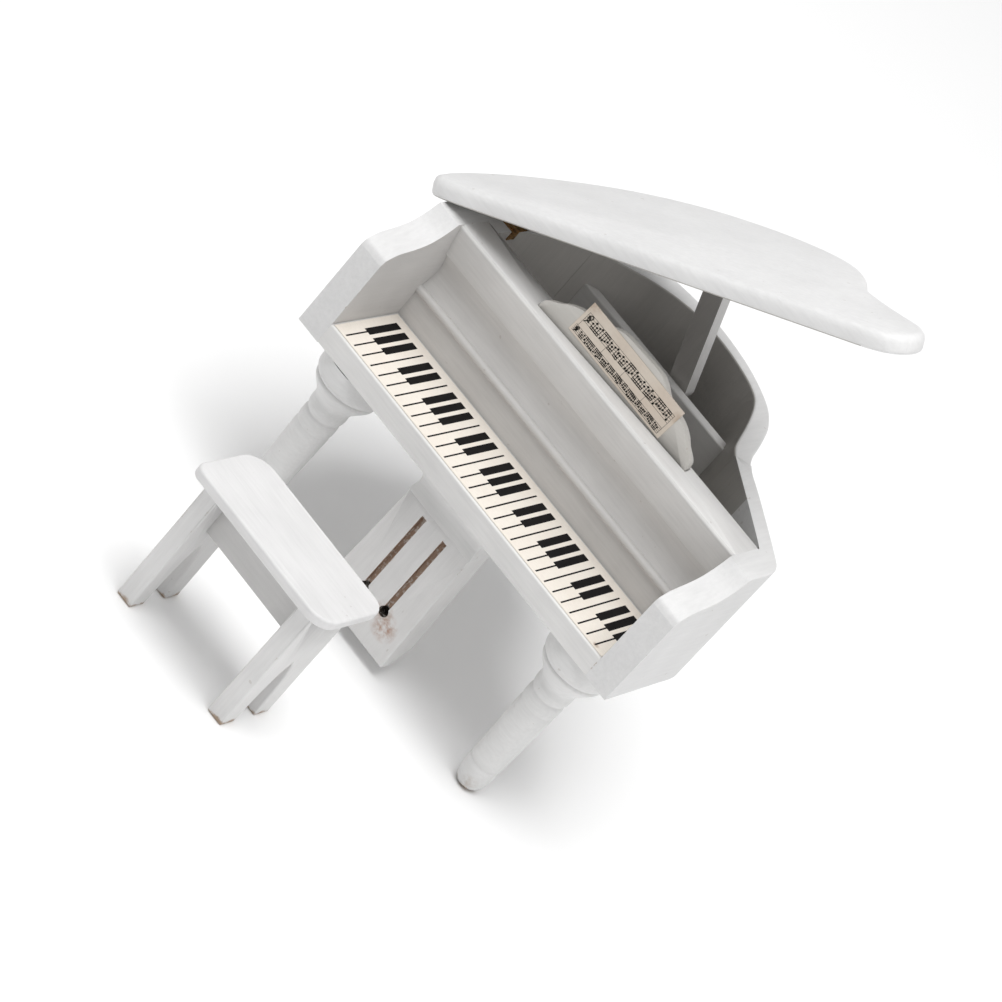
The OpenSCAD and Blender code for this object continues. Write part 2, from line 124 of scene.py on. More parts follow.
def ramp(tree, value, low, high, at_low, at_high):
    """value from low to high becomes at_low to at_high, and stays there outside."""
    return add(tree, "ShaderNodeMapRange", {
        "Value": value, "From Min": low, "From Max": high, "To Min": at_low, "To Max": at_high,
    }, clamp=True).outputs[0]


def calc(tree, operation, a, b):
    """The result of a math node on two sockets or values."""
    node = add(tree, "ShaderNodeMath", operation=operation)
    for socket, value in ((node.inputs[0], a), (node.inputs[1], b)):
        if isinstance(value, bpy.types.NodeSocket):
            tree.links.new(value, socket)
        else:
            socket.default_value = value
    return node.outputs[0]


MIX_COLOURS = (6, 7)
MIX_RESULT = 2


def mix(tree, share, a, b, blend="MIX"):
    """Colour a turned into colour b by a share from 0 to 1."""
    node = add(tree, "ShaderNodeMix", data_type="RGBA", blend_type=blend)
    colour_a, colour_b = (node.inputs[k] for k in MIX_COLOURS)
    for socket, value in ((node.inputs[0], share), (colour_a, a), (colour_b, b)):
        if isinstance(value, bpy.types.NodeSocket):
            tree.links.new(value, socket)
        else:
            socket.default_value = value
    return node.outputs[MIX_RESULT]


def rgb(r, g, b):
    """An opaque colour in linear light."""
    return (r, g, b, 1.0)


def near(tree, coords, point, radius):
    """1 at a point, falling to 0 at a distance of radius, in metres."""
    gap = add(tree, "ShaderNodeVectorMath", {0: coords, 1: point}, operation="DISTANCE")
    return ramp(tree, gap.outputs["Value"], 0.25 * radius, radius, 1.0, 0.0)


def edge_share(tree, radius):
    """1 on and beside an edge, out to about the radius, and 0 on the flats."""
    soft = add(tree, "ShaderNodeBevel", {"Radius": radius}, samples=4).outputs[0]
    true = add(tree, "ShaderNodeNewGeometry").outputs["Normal"]
    dot = add(tree, "ShaderNodeVectorMath", {0: soft, 1: true}, operation="DOT_PRODUCT")
    return ramp(tree, dot.outputs["Value"], 0.90, 0.985, 1.0, 0.0)


BARE_WOOD = rgb(0.30, 0.20, 0.12)
DIRT = rgb(0.34, 0.29, 0.25)
ALONG, ACROSS = 90, 1100
STROKES = {"x": (ALONG, ACROSS, ACROSS), "y": (ACROSS, ALONG, ACROSS), "z": (ACROSS, ACROSS, ALONG)}

# Noise stays mostly between these two values, so ramps over it run from one to the other.
LOW, HIGH = 0.3, 0.7

CORNER_REACH = 2.2 * MM
WORN_EDGE = 0.45 * MM
CHIP_SHARE = 0.75
FOOT_WEAR = (0.3 * MM, 1.1 * MM)
FOOT_RAGGED = 0.9 * MM
PAINT_RELIEF = 0.07 * MM


def paint(name, tint, strokes, chips=0.5, foot=False, scuffs=()):
    """Thick white paint brushed on wood: strokes along one axis, soft blotches, painted shade
    darkening the corners and hollows, specks, and small chips on the edges. A foot is worn to
    the wood at the floor, and each scuff is a rubbed patch: its point, its radius and its colour."""
    material, tree, surface, coords = new_material(name)
    brushed = noise(tree, stretched(tree, coords, STROKES[strokes]), 1.0, 4.0, 0.6)
    blotches = noise(tree, coords, 75.0, 2.0)
    fine = noise(tree, coords, 1700.0, 2.0)
    tone = calc(tree, "MULTIPLY", ramp(tree, brushed, LOW, HIGH, 0.94, 1.02),
                ramp(tree, blotches, LOW, HIGH, 0.955, 1.015))
    # painted shade: ambient occlusion darkens the paint's own colour in corners, creases and where
    # parts meet
    corners = add(tree, "ShaderNodeAmbientOcclusion", {"Distance": CORNER_REACH}, samples=6)
    tone = calc(tree, "MULTIPLY", tone, ramp(tree, corners.outputs["AO"], 0.35, 0.85, 0.8, 1.0))
    shade = add(tree, "ShaderNodeCombineColor", {"Red": tone, "Green": tone, "Blue": tone})
    colour = mix(tree, 1.0, tint, shade.outputs[0], "MULTIPLY")

    specks = ramp(tree, noise(tree, coords, 520.0, 1.0), 0.765, 0.79, 0.0, 0.3)
    colour = mix(tree, specks, colour, DIRT)
    edges = edge_share(tree, WORN_EDGE)
    whole = 0.70 - 0.1 * chips
    broken = ramp(tree, noise(tree, coords, 330.0, 3.0, 0.7), whole, whole + 0.02, 0.0, 1.0)
    chipped = calc(tree, "MULTIPLY", edges, broken)
    colour = mix(tree, calc(tree, "MULTIPLY", chipped, CHIP_SHARE), colour, BARE_WOOD)
    if foot:
        height = add(tree, "ShaderNodeSeparateXYZ", {"Vector": coords}).outputs["Z"]
        rise = ramp(tree, noise(tree, coords, 420.0, 3.0), LOW, HIGH, FOOT_RAGGED, -FOOT_RAGGED)
        ragged = calc(tree, "ADD", height, rise)
        worn = ramp(tree, ragged, *FOOT_WEAR, 0.85, 0.0)
        colour = mix(tree, worn, colour, BARE_WOOD)
    for point, radius, stain in scuffs:
        rubbed = calc(tree, "MULTIPLY", near(tree, coords, point, radius),
                      ramp(tree, noise(tree, coords, 520.0, 4.0, 0.7), 0.40, 0.62, 0.1, 1.0))
        colour = mix(tree, rubbed, colour, stain)
    tree.links.new(colour, surface.inputs["Base Color"])

    tree.links.new(ramp(tree, brushed, LOW, HIGH, 0.42, 0.58), surface.inputs["Roughness"])
    surface.inputs["Specular IOR Level"].default_value = 0.42
    relief = calc(tree, "ADD", calc(tree, "MULTIPLY", brushed, 0.7), calc(tree, "MULTIPLY", fine, 0.18))
    relief = calc(tree, "ADD", relief, calc(tree, "MULTIPLY", blotches, 1.5))
    relief = calc(tree, "SUBTRACT", relief, calc(tree, "MULTIPLY", chipped, 1.6))
    bump = add(tree, "ShaderNodeBump", {"Height": relief, "Distance": PAINT_RELIEF, "Strength": 0.55})
    tree.links.new(bump.outputs[0], surface.inputs["Normal"])
    return material


GLUE = rgb(0.26, 0.14, 0.05)
FADED_INK = rgb(0.25, 0.22, 0.19)
PAINT_CRUMBS = rgb(0.62, 0.58, 0.54)
FINE_RELIEF = 0.02 * MM
GRAIN_RELIEF = 0.12 * MM


def paper(name, tint, stain, spots=()):
    """Printed paper glued to wood: fibres, a slight yellowing, darker edges, and glue spots,
    each with its point, radius and strength."""
    material, tree, surface, coords = new_material(name)
    fibres = noise(tree, stretched(tree, coords, (900, 1900, 1900)), 1.0, 4.0, 0.65)
    clouds = noise(tree, coords, 130.0, 3.0)
    colour = mix(tree, ramp(tree, clouds, 0.35, 0.7, 0.0, 0.55), tint, stain)
    colour = mix(tree, ramp(tree, fibres, 0.35, 0.65, 0.1, 0.0), colour, DIRT)
    colour = mix(tree, calc(tree, "MULTIPLY", edge_share(tree, 0.25 * MM), 0.35), colour, DIRT)
    for point, radius, strength in spots:
        blot = calc(tree, "MULTIPLY", near(tree, coords, point, radius),
                    ramp(tree, noise(tree, coords, 900.0, 2.0), 0.35, 0.6, 0.35, 1.0))
        colour = mix(tree, calc(tree, "MULTIPLY", blot, strength), colour, GLUE)
    tree.links.new(colour, surface.inputs["Base Color"])
    tree.links.new(ramp(tree, fibres, LOW, HIGH, 0.62, 0.78), surface.inputs["Roughness"])
    surface.inputs["Specular IOR Level"].default_value = 0.3
    bump = add(tree, "ShaderNodeBump", {"Height": fibres, "Distance": FINE_RELIEF, "Strength": 0.5})
    tree.links.new(bump.outputs[0], surface.inputs["Normal"])
    return material


def ink(name, tint, faded):
    """Printer's black, a little uneven where the paper shows through."""
    material, tree, surface, coords = new_material(name)
    grain = noise(tree, coords, 2600.0, 3.0, 0.7)
    colour = mix(tree, ramp(tree, grain, 0.45, 0.72, 0.0, faded), tint, FADED_INK)
    tree.links.new(colour, surface.inputs["Base Color"])
    tree.links.new(ramp(tree, grain, LOW, HIGH, 0.55, 0.7), surface.inputs["Roughness"])
    surface.inputs["Specular IOR Level"].default_value = 0.12
    return material


def metal(name, tint, tarnish, streaks):
    """Thin stamped or drawn metal, rolled along one axis and tarnished in patches."""
    material, tree, surface, coords = new_material(name)
    rolled = noise(tree, stretched(tree, coords, streaks), 1.0, 3.0)
    patches = noise(tree, coords, 620.0, 4.0, 0.65)
    old = ramp(tree, patches, 0.42, 0.66, 0.1, 0.85)
    tree.links.new(mix(tree, old, tint, tarnish), surface.inputs["Base Color"])
    surface.inputs["Metallic"].default_value = 1.0
    dulled = calc(tree, "MULTIPLY", old, 0.25)
    rough = calc(tree, "ADD", ramp(tree, rolled, LOW, HIGH, 0.24, 0.38), dulled)
    tree.links.new(rough, surface.inputs["Roughness"])
    bump = add(tree, "ShaderNodeBump", {"Height": rolled, "Distance": FINE_RELIEF, "Strength": 0.5})
    tree.links.new(bump.outputs[0], surface.inputs["Normal"])
    return material


def bare_wood(name, tint, dark, strokes):
    """Unpainted wood in the bottom of a cut, with its grain along one axis."""
    material, tree, surface, coords = new_material(name)
    grain = noise(tree, stretched(tree, coords, STROKES[strokes]), 1.0, 5.0, 0.65)
    crumbs = noise(tree, coords, 700.0, 3.0)
    colour = mix(tree, ramp(tree, grain, LOW, HIGH, 0.0, 1.0), tint, dark)
    colour = mix(tree, ramp(tree, crumbs, 0.52, 0.62, 0.0, 0.6), colour, PAINT_CRUMBS)
    tree.links.new(colour, surface.inputs["Base Color"])
    tree.links.new(ramp(tree, grain, LOW, HIGH, 0.7, 0.9), surface.inputs["Roughness"])
    bump = add(tree, "ShaderNodeBump", {"Height": grain, "Distance": GRAIN_RELIEF, "Strength": 0.7})
    tree.links.new(bump.outputs[0], surface.inputs["Normal"])
    return material


# ---------------------------------------------------------------- mesh helpers

SAME_POINT = 0.002 * MM
SAME_PLANE = math.radians(0.6)
ON_JOINT = 0.03 * MM
BEVEL_STEPS = 4


def new_piece(name, bm, materials, smooth_angle=40):
    """A new object from a bmesh, shaded smooth except across sharp edges."""
    mesh = bpy.data.meshes.new(name)
    bm.to_mesh(mesh)
    bm.free()
    for material in materials:
        mesh.materials.append(material)
    mesh.shade_smooth()
    mesh.set_sharp_from_angle(angle=math.radians(smooth_angle))
    piece = bpy.data.objects.new(name, mesh)
    bpy.context.scene.collection.objects.link(piece)
    return piece


def merged_copy(node):
    """The CAD node's surface with shared corners and with flat faces made whole, except where
    their outline is hollow."""
    bm = bmesh.new()
    bm.from_mesh(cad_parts[node].data)
    bmesh.ops.remove_doubles(bm, verts=bm.verts, dist=SAME_POINT)
    bmesh.ops.dissolve_limit(bm, angle_limit=SAME_PLANE, verts=bm.verts, edges=bm.edges)
    bmesh.ops.connect_verts_concave(bm, faces=bm.faces)
    return bm


def surface_tree(node):
    """A CAD node's surface, for finding the nearest point on it."""
    bm = bmesh.new()
    bm.from_mesh(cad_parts[node].data)
    tree = BVHTree.FromBMesh(bm)
    bm.free()
    return tree


def softened(node, body, material, radius, joined=(), sharp=28, seam=0.0, round_more=None):
    """A copy of a CAD node whose edges are rounded as paint rounds them, by a radius in mm and
    half as much in its hollows. sharp is the least angle that counts as an edge, in degrees.
    Edges that lie on one of the joined nodes stay, because the paint runs across that joint,
    or keep a seam of that share of the radius. round_more picks edges that get twice as much."""
    bm = merged_copy(node)
    neighbours = [surface_tree(other) for other in joined]
    weight = bm.edges.layers.float.new("bevel_weight_edge")
    for edge in bm.edges:
        if len(edge.link_faces) != 2 or edge.calc_face_angle() < math.radians(sharp):
            continue
        middle = (edge.verts[0].co + edge.verts[1].co) / 2
        if any(tree.find_nearest(middle, ON_JOINT)[0] is not None for tree in neighbours):
            edge[weight] = seam / 2
        elif round_more and round_more(edge):
            edge[weight] = 1.0
        else:
            edge[weight] = 0.5 if edge.is_convex else 0.25
    piece = new_piece(node + "_painted", bm, [material], sharp)
    bevel = piece.modifiers.new("rounded_edges", "BEVEL")
    bevel.limit_method = "WEIGHT"
    bevel.width = 2 * radius * MM
    bevel.segments = BEVEL_STEPS
    bevel.use_clamp_overlap = True
    bevel.harden_normals = True
    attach(piece, body)
    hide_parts(node)
    return piece


def spline(points, steps):
    """A smooth curve through a list of 2D points, with so many steps between each pair."""
    found = []
    for i in range(len(points) - 1):
        p0, p1 = points[max(i - 1, 0)], points[i]
        p2, p3 = points[i + 1], points[min(i + 2, len(points) - 1)]
        for k in range(steps):
            t = k / steps
            found.append(tuple(
                0.5 * (2 * b + (c - a) * t + (2 * a - 5 * b + 4 * c - d) * t * t
                       + (3 * b - a - 3 * c + d) * t ** 3)
                for a, b, c, d in zip(p0, p1, p2, p3)))
    found.append(tuple(points[-1]))
    return found


def lathe(profile, centre, sides=96):
    """A turned solid: the profile is radius and height, from the floor up."""
    bm = bmesh.new()
    rings = []
    for radius, height in profile:
        rings.append([
            bm.verts.new((centre.x + radius * math.cos(2 * math.pi * k / sides),
                          centre.y + radius * math.sin(2 * math.pi * k / sides), height))
            for k in range(sides)])
    for low, high in zip(rings, rings[1:]):
        for k in range(sides):
            n = (k + 1) % sides
            bm.faces.new((low[k], low[n], high[n], high[k]))
    bm.faces.new(list(reversed(rings[0])))
    bm.faces.new(rings[-1])
    return bm


def flat_shape(bm, corners, place, thickness):
    """A thin printed shape: corners are 2D, place turns a 2D point and a height into 3D."""
    low = [bm.verts.new(place(u, v, 0)) for u, v in corners]
    high = [bm.verts.new(place(u, v, thickness)) for u, v in corners]
    bm.faces.new(list(reversed(low)))
    bm.faces.new(high)
    for k in range(len(corners)):
        n = (k + 1) % len(corners)
        bm.faces.new((low[k], low[n], high[n], high[k]))


def rectangle(u0, v0, u1, v1):
    """The corners of a rectangle from its lower left to its upper right corner."""
    return [(u0, v0), (u1, v0), (u1, v1), (u0, v1)]


def oval(u, v, a, b, tilt, sides=10):
    """The corners of a tilted oval about a point, with half axes a and b."""
    turn = [2 * math.pi * k / sides for k in range(sides)]
    return [(u + a * math.cos(t) * math.cos(tilt) - b * math.sin(t) * math.sin(tilt),
             v + a * math.cos(t) * math.sin(tilt) + b * math.sin(t) * math.cos(tilt)) for t in turn]


# ---------------------------------------------------------------- painted wood


ROUNDING = {
    "left_side": 0.7, "right_side": 0.7, "tail_rim": 0.7, "key_bed": 0.5, "key_strip": 0.3,
    "strip_lip": 0.3, "fallboard": 0.3, "top_rail": 0.45, "bottom_board": 0.2, "cross_bar": 0.5,
}
RIM = ("left_side", "right_side", "tail_rim")
CHEEKS = ("left_side", "right_side")
RIM_SEAM = 0.4
INSIDE_SHADE_SLOT, CHEEK_SHADE_SLOT = 1, 2


def paint_case():
    """The boards of the case, with the rim's two upright joints left as seams."""
    outside = paint("paint_case", rgb(0.705, 0.702, 0.70), "y", chips=0.45)
    across = paint("paint_rail", rgb(0.73, 0.722, 0.712), "x", chips=0.5)
    # painted shade: the key strip, its lip and the fallboard under the top rail are tinted a little
    # darker for the shade in that recess
    recess_shade = paint("paint_recess_shade", rgb(0.68, 0.668, 0.655), "x", chips=0.1)
    # painted shade: the walls and floor inside the case get a dark grey in place of the shadow under
    # the lid
    inside = paint("paint_inside_shade", rgb(0.43, 0.415, 0.395), "z", chips=0.1)
    # painted shade: the inner faces of the cheeks beside the keys get a darker grey for the shade in
    # that recess
    cheek_shade = paint("paint_cheek_shade", rgb(0.54, 0.53, 0.52), "y", chips=0.1)
    surfaces = {"key_bed": across, "top_rail": across, "cross_bar": across, "strip_lip": recess_shade,
                "fallboard": recess_shade, "key_strip": recess_shade, "bottom_board": inside}
    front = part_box("left_side")[0].y + 0.5 * MM

    def at_front(edge):
        return all(v.co.y < front for v in edge.verts)

    for node, radius in ROUNDING.items():
        piece = softened(node, "piano", surfaces.get(node, outside), radius,
                         joined=[other for other in ROUNDING if other != node],
                         seam=RIM_SEAM if node == "tail_rim" else 0.0,
                         round_more=at_front if node in CHEEKS else None)
        if node in RIM:
            piece.data.materials.append(inside)
            piece.data.materials.append(cheek_shade)
            mark_inner_faces(piece)


# How far a face's normal may rise, and the least share of it that points inward.
UPRIGHT = 0.3
FACING_MIDDLE = 0.25
FACING_KEYS = 0.9


def mark_inner_faces(piece):
    """The walls of the space inside the case take a dark grey that is painted shade for the shadow
    under the lid, and so, a little lighter, do the walls at both ends of the keys, as painted shade."""
    low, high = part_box("bottom_board")
    middle = (low + high) / 2
    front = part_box("top_rail")[1].y
    for face in piece.data.polygons:
        toward = middle - face.center
        toward.z = 0
        behind_rail = face.center.y > front - 0.1 * MM
        upright = abs(face.normal.z) < UPRIGHT
        if behind_rail and upright and face.normal.dot(toward.normalized()) > FACING_MIDDLE:
            face.material_index = INSIDE_SHADE_SLOT
        elif face.center.y < front and face.normal.x * toward.x > FACING_KEYS * abs(toward.x):
            face.material_index = CHEEK_SHADE_SLOT


def paint_desk():
    """The music desk, a little yellower than the case and darker with painted shade."""
    # painted shade: the desk's tint is darker than the case paint to stand in for the shade falling on
    # it
    desk = paint("paint_desk", rgb(0.60, 0.58, 0.545), "x", chips=0.4)
    softened("music_desk", "piano", desk, 0.4, joined=["top_rail"])


# The radius and height of a leg's outline in mm, from the floor up.
LEG_PROFILE = [
    (1.6, 0), (2.7, 0.5), (3.6, 1.7), (4.15, 3.6), (4.35, 5.6), (4.4, 7.6), (4.3, 8.2), (4.2, 8.5),
    (4.35, 8.9), (4.45, 9.6), (4.55, 15), (4.75, 21), (4.9, 27), (4.95, 28.8), (4.85, 29.5),
    (4.8, 29.9), (4.95, 30.4), (5.05, 31.2), (5.05, 32.9), (4.9, 33.6), (4.7, 34.1), (4.85, 34.6),
    (5.15, 35.2), (5.3, 36.4), (5.3, 38.1), (5.7, 39.3), (6.6, 40.6), (7.5, 41.7), (8.2, 42.7),
    (8.7, 43.5), (8.65, 44.1), (8.5, 44.5), (8.9, 44.9), (9.4, 45.4), (9.65, 46.2), (9.7, 47.2),
    (9.7, 49.8), (9.68, 50.9),
]


# From the middle of the front of a leg's box on the floor to its rubbed patch.
LEG_RUB = Vector((2.5, 4, 2.4)) * MM


def turn_leg(node, material):
    """A turned leg. The paint has filled its rings, so every corner of the outline is soft."""
    low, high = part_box(node)
    centre = (low + high) / 2
    profile = [(r * MM, z * MM) for r, z in spline(LEG_PROFILE, 3)]
    piece = new_piece(node + "_painted", lathe(profile, centre), [material], 60)
    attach(piece, "piano")
    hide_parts(node)


def paint_legs():
    """The three legs, each with a worn foot and a rubbed patch above it."""
    for node in ("left_leg", "right_leg", "rear_leg"):
        low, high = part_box(node)
        rub = Vector(((low.x + high.x) / 2, low.y, 0)) + LEG_RUB
        turn_leg(node, paint("paint_" + node, rgb(0.70, 0.696, 0.69), "x", chips=0.5, foot=True,
                             scuffs=[(rub, 4 * MM, rgb(0.42, 0.36, 0.31))]))


PEDAL_CUT_X = 4 * MM
PEDAL_CUT_HALF_WIDTH = 1.6 * MM
PEDAL_CUT_DEPTH = (0.05 * MM, 3.2 * MM)
PEDAL_HOLE_Z = 14.6 * MM
PEDAL_HOLE_LOW = 12.5 * MM
PEDAL_HOLE_RISE = 1.3 * MM
GROOVE_SLOT, HOLE_SHADE_SLOT = 1, 2


def paint_lyre():
    """The pedal board, rubbed by its right-hand hole, with bare wood in its lines, and in its holes
    bare wood darkened nearly to black as painted shade.
    """
    low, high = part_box("lyre_board")
    middle = (low.x + high.x) / 2
    below = Vector((middle + 6.8 * MM, low.y, PEDAL_HOLE_Z - 2.6 * MM))
    hole = Vector((middle + PEDAL_CUT_X, low.y, PEDAL_HOLE_Z))
    board = paint("paint_lyre", rgb(0.68, 0.672, 0.665), "z", chips=0.9,
                  scuffs=[(below, 4.4 * MM, rgb(0.38, 0.22, 0.15)),
                          (hole, 3.2 * MM, rgb(0.36, 0.24, 0.17))])
    piece = softened("lyre_board", "piano", board, 0.45, joined=["lyre_cap"])
    grooves = bare_wood("cut_grooves", rgb(0.40, 0.28, 0.21), rgb(0.20, 0.125, 0.085), "z")
    # painted shade: the insides of the pedal holes are bare wood darkened almost to black for the
    # shadow deep in them
    holes = bare_wood("cut_holes_shade", rgb(0.05, 0.035, 0.025), rgb(0.02, 0.014, 0.01), "z")
    piece.data.materials.append(grooves)
    piece.data.materials.append(holes)
    shallowest, deepest = PEDAL_CUT_DEPTH
    for face in piece.data.polygons:
        off = abs(abs(face.center.x - middle) - PEDAL_CUT_X)
        in_cut = shallowest < face.center.y - low.y < deepest and off < PEDAL_CUT_HALF_WIDTH
        if in_cut and face.center.z > PEDAL_HOLE_LOW:
            above = face.center.z > PEDAL_HOLE_Z + PEDAL_HOLE_RISE
            face.material_index = GROOVE_SLOT if above else HOLE_SHADE_SLOT
    cap = paint("paint_cap", rgb(0.70, 0.695, 0.688), "x", chips=0.4)
    softened("lyre_cap", "piano", cap, 0.5, joined=["key_bed", "lyre_board"])


# A face whose normal has at least this share along a direction is facing that way.
FACING = 0.6
SECOND_SLOT = 1


def paint_lid():
    """The lid, with painted shade underneath, and its prop, with painted shade on most faces
    and a painted light tone on its treble side.
    """
    lid = paint("paint_lid", rgb(0.76, 0.757, 0.755), "x", chips=0.75)
    piece = softened("lid_board", "lid", lid, 0.3, sharp=40)
    piece.data.set_sharp_from_angle(angle=math.radians(50))
    # painted shade: faces of the lid that point down get a dark grey for the shade under the lid
    underside_shade = paint("paint_lid_underside_shade", rgb(0.45, 0.44, 0.42), "x", chips=0.1)
    piece.data.materials.append(underside_shade)
    for face in piece.data.polygons:
        if face.normal.z < -FACING:
            face.material_index = SECOND_SLOT
    # painted shade: thin is the prop's dark paint, a grey standing in for the shade under the lid, on
    # the stick and its tab
    thin = paint("paint_prop_shaded", rgb(0.42, 0.405, 0.39), "z", chips=0.5)
    stick = softened("prop_stick", "prop", thin, 0.45)
    # painted light: the prop's faces toward +X, the treble side, get a light tint as if lit from there
    stick.data.materials.append(paint("paint_prop_lit_side", rgb(0.72, 0.71, 0.70), "z", chips=0.5))
    for face in stick.data.polygons:
        if face.normal.x > FACING:
            face.material_index = SECOND_SLOT
    softened("prop_tab", "lid", thin, 0.2)


def paint_stool():
    """The stool. Its feet are worn, and its rail is darker than its seat, as painted shade under the
    seat.
    """
    legs = paint("paint_stool_ends", rgb(0.70, 0.695, 0.69), "z", chips=0.9, foot=True)
    ends = ["stool_left_end", "stool_right_end", "stool_rail"]
    # painted shade: the rail under the seat gets a darker grey for the shade the seat casts on it
    rail = paint("paint_stool_rail_shaded", rgb(0.58, 0.573, 0.566), "x", chips=0.5)
    for node in ends:
        softened(node, "stool", rail if node == "stool_rail" else legs, 0.5,
                 joined=["stool_seat"] + [other for other in ends if other != node])
    seat = paint("paint_seat", rgb(0.715, 0.71, 0.71), "x", chips=1.0)
    softened("stool_seat", "stool", seat, 0.7)


# ---------------------------------------------------------------- printed papers

# The keys are shares of the sheet: widths of a white key's pitch, and depths of its depth.
WHITE_KEYS = 32
FIRST_KEY = 3
BLACK_AFTER = (0, 1, 3, 4, 5)
KEY_LINE = 0.068
BLACK_KEY = 0.325
KEYS_FRONT, BLACK_FRONT, BLACK_BACK = 0.035, 0.37, 0.88
PRINT_LEFT, PRINT_SPARE = 0.1, 0.15
PRINT = 0.02 * MM
CUT_EDGE = 0.04 * MM


def lay_paper(node, material):
    """The paper itself: a copy of a CAD node with slightly soft cut edges."""
    bm = merged_copy(node)
    piece = new_piece(node + "_paper", bm, [material], 30)
    bevel = piece.modifiers.new("cut_edges", "BEVEL")
    bevel.width = CUT_EDGE
    bevel.segments = 2
    bevel.harden_normals = True
    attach(piece, "piano")
    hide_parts(node)


def print_piece(name, bm, material):
    """A thin printed layer that rides on the piano."""
    piece = new_piece(name, bm, [material], 30)
    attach(piece, "piano")


def print_keyboard():
    """Black keys and the lines between white keys, from a low F to a high B. A line beside a
    black key stops at that key's front."""
    low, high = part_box("keyboard_sheet")
    width, depth = high.x - low.x, high.y - low.y
    pitch = width / (WHITE_KEYS + PRINT_SPARE)
    line = KEY_LINE * pitch
    black = BLACK_KEY * pitch
    front, split, back = KEYS_FRONT * depth, BLACK_FRONT * depth, BLACK_BACK * depth

    def place(u, v, t):
        return low.x + u, low.y + v, high.z + t

    black_keys, lines = bmesh.new(), bmesh.new()
    for k in range(1, WHITE_KEYS):
        u = (k + PRINT_LEFT) * pitch
        raised = (FIRST_KEY + k - 1) % 7 in BLACK_AFTER
        end = split if raised else back
        flat_shape(lines, rectangle(u - line, front, u + line, end), place, PRINT)
        if raised:
            flat_shape(black_keys, rectangle(u - black, split, u + black, back), place, PRINT)
    black_ink = ink("ink_keys", rgb(0.005, 0.0045, 0.005), 0.02)
    print_piece("printed_black_keys", black_keys, black_ink)
    print_piece("printed_key_lines", lines, black_ink)
    corner = Vector((high.x - 3.2 * MM, low.y + 1.3 * MM, high.z))
    spots = [(corner, 1.1 * MM, 0.9)]
    sheet = paper("paper_keys", rgb(0.81, 0.76, 0.69), rgb(0.78, 0.71, 0.635), spots)
    lay_paper("keyboard_sheet", sheet)


def sheet_corners():
    """Lower left, lower right and upper left corner of the sheet music's front face."""
    bm = merged_copy("music_sheet")
    bm.normal_update()
    face = max(bm.faces, key=lambda f: -f.normal.y * f.calc_area())
    by_x = sorted((v.co.copy() for v in face.verts), key=lambda c: c.x)
    left = sorted(by_x[:2], key=lambda c: c.z)
    right = sorted(by_x[-2:], key=lambda c: c.z)
    bm.free()
    return left[0], right[0], left[1]


# Half the width of a stave line. Sizes of notes and beams are shares of a note's size.
STAVE_LINE = 0.04 * MM
HEAD_LENGTH, HEAD_HEIGHT, HEAD_TILT = 0.62, 0.48, 0.35
STEM_HALF_WIDTH = 0.15
NOTE_STEP = 1.25
BEAM_THICKNESS = 0.5
SECOND_BEAM = 0.9
GROUP_SIZES = [3, 4, 5, 6]
GROUP_GAP = 0.1 * MM
CLEF_ROOM = 2.4 * MM
CURL_STEPS = 18
CURL_HALF_WIDTH = 0.14 * MM


def note(bm, place, u, v, size, beam):
    """One note: a tilted oval head and the stem that joins it to its beam."""
    head = oval(u, v, HEAD_LENGTH * size, HEAD_HEIGHT * size, HEAD_TILT)
    flat_shape(bm, head, place, PRINT)
    stem = STEM_HALF_WIDTH * size
    flat_shape(bm, rectangle(u - stem, min(v, beam), u + stem, max(v, beam)), place, PRINT)


def stave(bm, place, u0, u1, v, gap, size, rng):
    """Five lines with groups of beamed notes between them, in no particular tune."""
    for k in range(5):
        line = v + k * gap
        flat_shape(bm, rectangle(u0, line - STAVE_LINE, u1, line + STAVE_LINE), place, PRINT)
    step = NOTE_STEP * size
    half = BEAM_THICKNESS * size / 2
    u = u0 + CLEF_ROOM
    while u < u1 - 2 * step:
        count = min(rng.choice(GROUP_SIZES), int((u1 - u) / step))
        above = rng.random() < 0.5
        slope = rng.uniform(-0.12, 0.12)
        beam = v + (3.9 if above else 0.1) * gap
        heads = (0.4, 2.0) if above else (2.0, 3.6)
        for k in range(count):
            pitch = v + gap * rng.uniform(*heads)
            note(bm, place, u + k * step, pitch, size, beam + slope * k * step)
        length = (count - 1) * step
        second = -SECOND_BEAM * size if above else SECOND_BEAM * size
        for drop in (0.0, second):
            a, b = beam + drop, beam + drop + slope * length
            bar = [(u, a - half), (u + length, b - half), (u + length, b + half), (u, a + half)]
            flat_shape(bm, bar, place, PRINT * 1.2)
        u += count * step + GROUP_GAP


def swirl(bm, place, u, v, size):
    """A curl at the start of a stave, drawn as a chain of short thick strokes."""
    curl = []
    for k in range(CURL_STEPS + 1):
        t = k / CURL_STEPS
        r = size * (0.25 + 0.75 * t)
        curl.append((u + 0.55 * r * math.cos(5.2 * math.pi * t), v + r * math.sin(3.6 * math.pi * t)))
    for (a, b), (c, d) in zip(curl, curl[1:]):
        run = max(math.hypot(c - a, d - b), 1e-9)
        nu, nv = -(d - b) / run * CURL_HALF_WIDTH, (c - a) / run * CURL_HALF_WIDTH
        stroke = [(a - nu, b - nv), (c - nu, d - nv), (c + nu, d + nv), (a + nu, b + nv)]
        flat_shape(bm, stroke, place, PRINT * 1.5)


# Where the two staves start, as shares of the sheet's height, and the gaps between their lines.
UPPER_STAVE, LOWER_STAVE = 0.46, 0.07
UPPER_GAP, LOWER_GAP = 0.64 * MM, 0.44 * MM
UPPER_NOTE, LOWER_NOTE = 0.56 * MM, 0.46 * MM
SHEET_MARGIN = 1.1 * MM
BAR_LINES = (0.0, 0.27, 0.5, 0.74, 1.0)
MUSIC_SEED = 7


